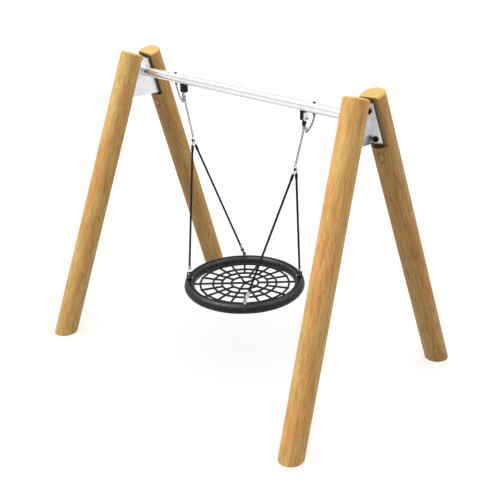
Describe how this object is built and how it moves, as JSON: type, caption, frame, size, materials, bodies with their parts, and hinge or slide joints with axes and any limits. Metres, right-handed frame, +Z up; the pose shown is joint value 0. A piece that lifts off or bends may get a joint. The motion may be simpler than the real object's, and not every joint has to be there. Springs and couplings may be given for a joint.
{
  "type": "nest swing",
  "caption": "Round net nest swing hung by chains and ropes from a steel crossbeam on a splayed timber A-frame.",
  "frame": {"origin": "on the ground under the middle of the crossbeam", "axes": "+X along the crossbeam, to the right seen from the front; -Y is the front; +Z up"},
  "size_m": [2.8694, 2.027, 2.3805],
  "materials": {
    "timber": "matte",
    "galvanised_plate": "satin",
    "zinc_steel": "satin",
    "beam_steel": "satin",
    "black_coated_steel": "satin",
    "black_plastic": "satin",
    "shackle_steel": "polished",
    "chain_steel": "satin",
    "black_rope": "matte",
    "net_rope": "matte",
    "rim_cover": "satin"
  },
  "bodies": {
    "frame": {"axle_bolt_left": "black_coated_steel", "axle_bolt_right": "black_coated_steel", "axle_nut_left": "zinc_steel", "axle_nut_right": "zinc_steel", "bracket_left": "galvanised_plate", "bracket_right": "galvanised_plate", "coach_screws_left": "zinc_steel", "coach_screws_right": "zinc_steel", "crossbeam": "beam_steel", "hanger_housing_left": "black_coated_steel", "hanger_housing_right": "black_coated_steel", "hanger_side_plate_left": "zinc_steel", "hanger_side_plate_right": "zinc_steel", "leg_back_left": "timber", "leg_back_right": "timber", "leg_front_left": "timber", "leg_front_right": "timber", "safety_eye_bolt_left": "black_coated_steel", "safety_eye_bolt_right": "black_coated_steel", "safety_eye_cap_left": "black_plastic", "safety_eye_cap_right": "black_plastic", "screw_caps_left": "black_plastic", "screw_caps_right": "black_plastic", "screw_washers_left": "zinc_steel", "screw_washers_right": "zinc_steel"},
    "suspension": {"chain_left": "chain_steel", "chain_right": "chain_steel", "hanger_bearing_left": "zinc_steel", "hanger_bearing_right": "zinc_steel", "link_face_plates": "zinc_steel", "lower_shackle_bolt_left": "shackle_steel", "lower_shackle_bolt_right": "shackle_steel", "lower_shackle_left": "shackle_steel", "lower_shackle_right": "shackle_steel", "pendulum_link_left": "black_coated_steel", "pendulum_link_right": "black_coated_steel", "top_shackle_bolt_left": "shackle_steel", "top_shackle_bolt_right": "shackle_steel", "top_shackle_left": "shackle_steel", "top_shackle_right": "shackle_steel"},
    "seat": {"net_hub": "black_plastic", "net_rings": "net_rope", "net_spokes": "net_rope", "rim_clamps": "black_plastic", "rim_pad": "rim_cover", "rim_tube": "zinc_steel", "rope_back_left": "black_rope", "rope_back_right": "black_rope", "rope_front_left": "black_rope", "rope_front_right": "black_rope", "rope_seat_ends": "shackle_steel", "rope_top_ends": "black_coated_steel", "seat_shackle_bolts": "shackle_steel", "seat_shackles": "shackle_steel"},
    "safety_left": {"safety_chain_left": "chain_steel", "safety_quick_link_left": "chain_steel"},
    "safety_right": {"safety_chain_right": "chain_steel", "safety_quick_link_right": "chain_steel"}
  },
  "joints": [
    {"name": "swing", "type": "hinge", "parent": "frame", "child": "suspension", "pos_m": [0, 0, 2.105], "axis": [1, 0, 0], "range_deg": [-60, 60]},
    {"name": "seat_rock", "type": "hinge", "parent": "suspension", "child": "seat", "pos_m": [0, 0, 1.7], "axis": [1, 0, 0], "range_deg": [-30, 30]},
    {"name": "safety_left_swing", "type": "hinge", "parent": "frame", "child": "safety_left", "pos_m": [-0.7, 0, 2.13], "axis": [1, 0, 0], "range_deg": [-48, 48]},
    {"name": "safety_right_swing", "type": "hinge", "parent": "frame", "child": "safety_right", "pos_m": [0.7, 0, 2.13], "axis": [1, 0, 0], "range_deg": [-48, 48]}
  ],
  "couplings": [
    {"joint": "safety_left_swing", "follows": "swing", "ratio": 0.78},
    {"joint": "safety_right_swing", "follows": "swing", "ratio": 0.78}
  ]
}
